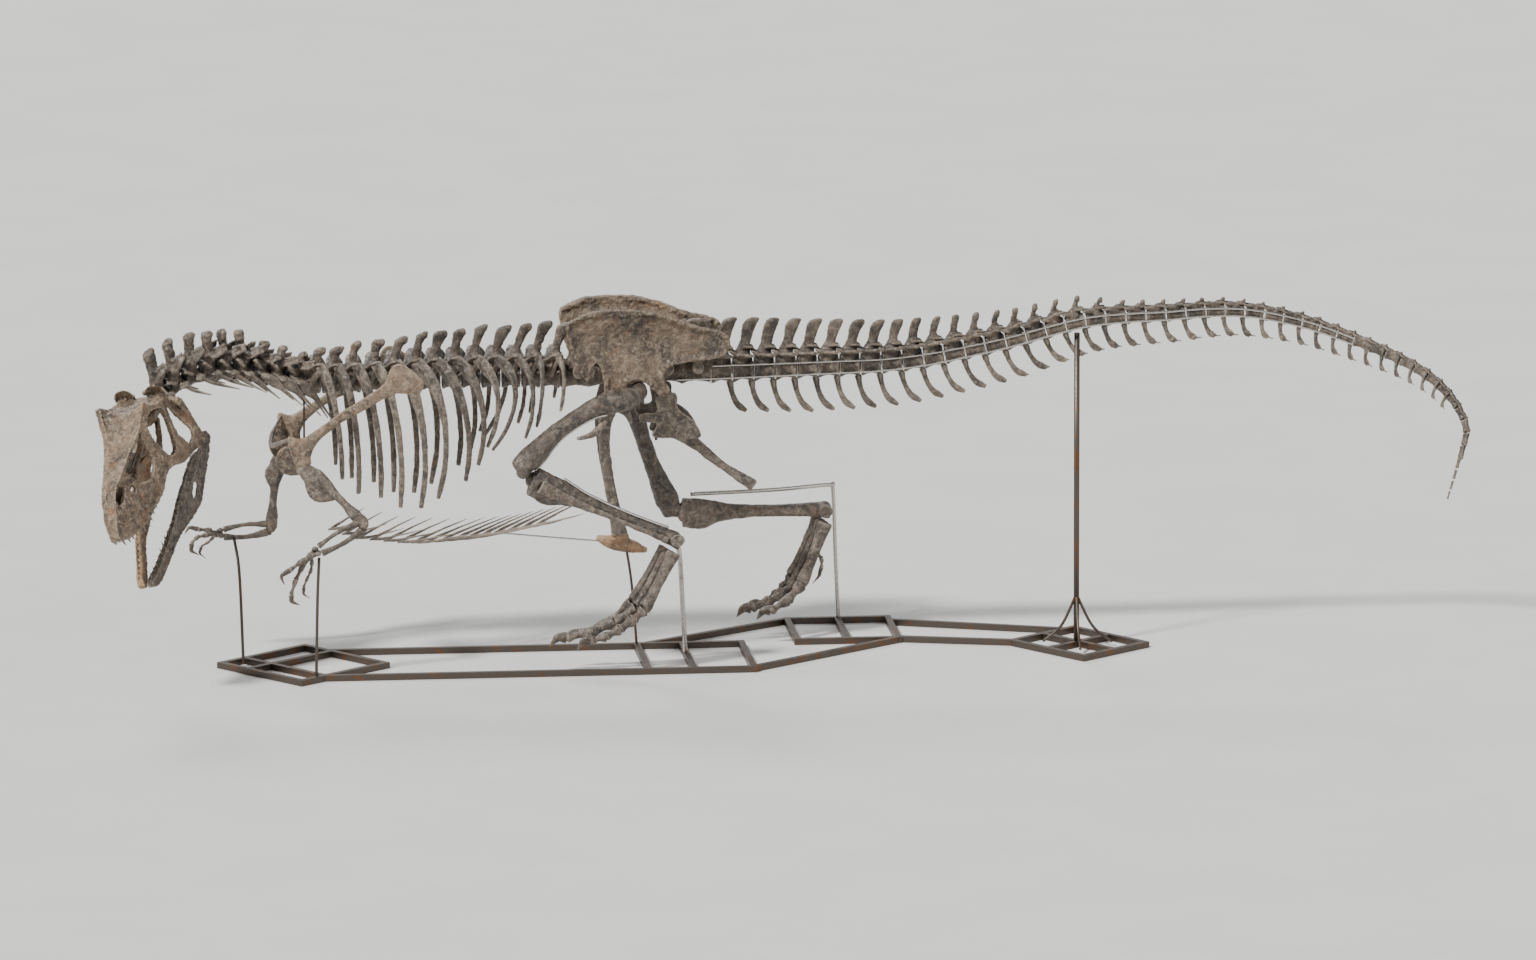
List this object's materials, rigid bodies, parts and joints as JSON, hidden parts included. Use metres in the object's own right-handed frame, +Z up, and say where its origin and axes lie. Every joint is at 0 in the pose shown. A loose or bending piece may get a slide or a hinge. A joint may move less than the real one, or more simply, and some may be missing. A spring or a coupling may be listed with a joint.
{
  "type": "mounted dinosaur skeleton",
  "caption": "Life-size mounted skeleton of a large meat-eating dinosaur in a low stride, head hanging and turned aside, on a welded floor frame with rods.",
  "frame": {"origin": "underside of the floor frame's cross bar under the hips, on the floor", "axes": "+X along the backbone towards the tail, -Y to the animal's left, +Z up"},
  "size_m": [7.7268, 1.9396, 2.022],
  "materials": {
    "bone_brown": "dark brown fossil bone with tan and rust patches, satin lacquer",
    "bone_tan": "tan-brown pitted fossil bone, satin lacquer",
    "bone_dark": "grey-brown fossil bone, satin lacquer",
    "frame_steel": "dark blackened steel with brown patina",
    "bright_rod": "bare bright rod"
  },
  "bodies": {
    "root": {"femur_left": "bone_brown", "femur_right": "bone_brown", "fibula_left": "bone_brown", "fibula_right": "bone_brown", "foot_left": "bone_brown", "foot_right": "bone_brown", "furcula": "bone_tan", "gastralia": "bone_brown", "hand_left": "bone_brown", "hand_right": "bone_brown", "humerus_left": "bone_brown", "humerus_right": "bone_brown", "ilium_left": "bone_tan", "ilium_right": "bone_tan", "ischium": "bone_brown", "jaw_left": "bone_brown", "jaw_right": "bone_brown", "neck": "bone_brown", "pubis": "bone_brown", "radius_left": "bone_brown", "radius_right": "bone_brown", "rib_cage_left": "bone_brown", "rib_cage_right": "bone_brown", "sacrum": "bone_brown", "scapula_left": "bone_tan", "scapula_right": "bone_tan", "skull": "bone_tan", "stand_bar_shin": "bright_rod", "stand_bar_thigh": "bright_rod", "stand_belly_wire": "frame_steel", "stand_brace_far": "frame_steel", "stand_brace_near": "frame_steel", "stand_front_frame": "frame_steel", "stand_middle_frame": "frame_steel", "stand_post_hand_left": "frame_steel", "stand_post_hand_right": "frame_steel", "stand_post_leg_left": "bright_rod", "stand_post_leg_right": "frame_steel", "stand_post_pubis": "frame_steel", "stand_post_tail": "frame_steel", "stand_rail_far": "frame_steel", "stand_rail_near": "frame_steel", "stand_rail_tail_far": "frame_steel", "stand_rail_tail_near": "frame_steel", "stand_shoulder_hanger": "frame_steel", "stand_side_frame": "frame_steel", "stand_tail_frame": "frame_steel", "stand_tail_rod_lower": "bright_rod", "stand_tail_rod_upper": "bright_rod", "tail_middle": "bone_dark", "tail_rear": "bone_dark", "tail_root": "bone_dark", "tail_tip": "bone_dark", "tibia_left": "bone_brown", "tibia_right": "bone_brown", "ulna_left": "bone_brown", "ulna_right": "bone_brown"}
  },
  "joints": []
}
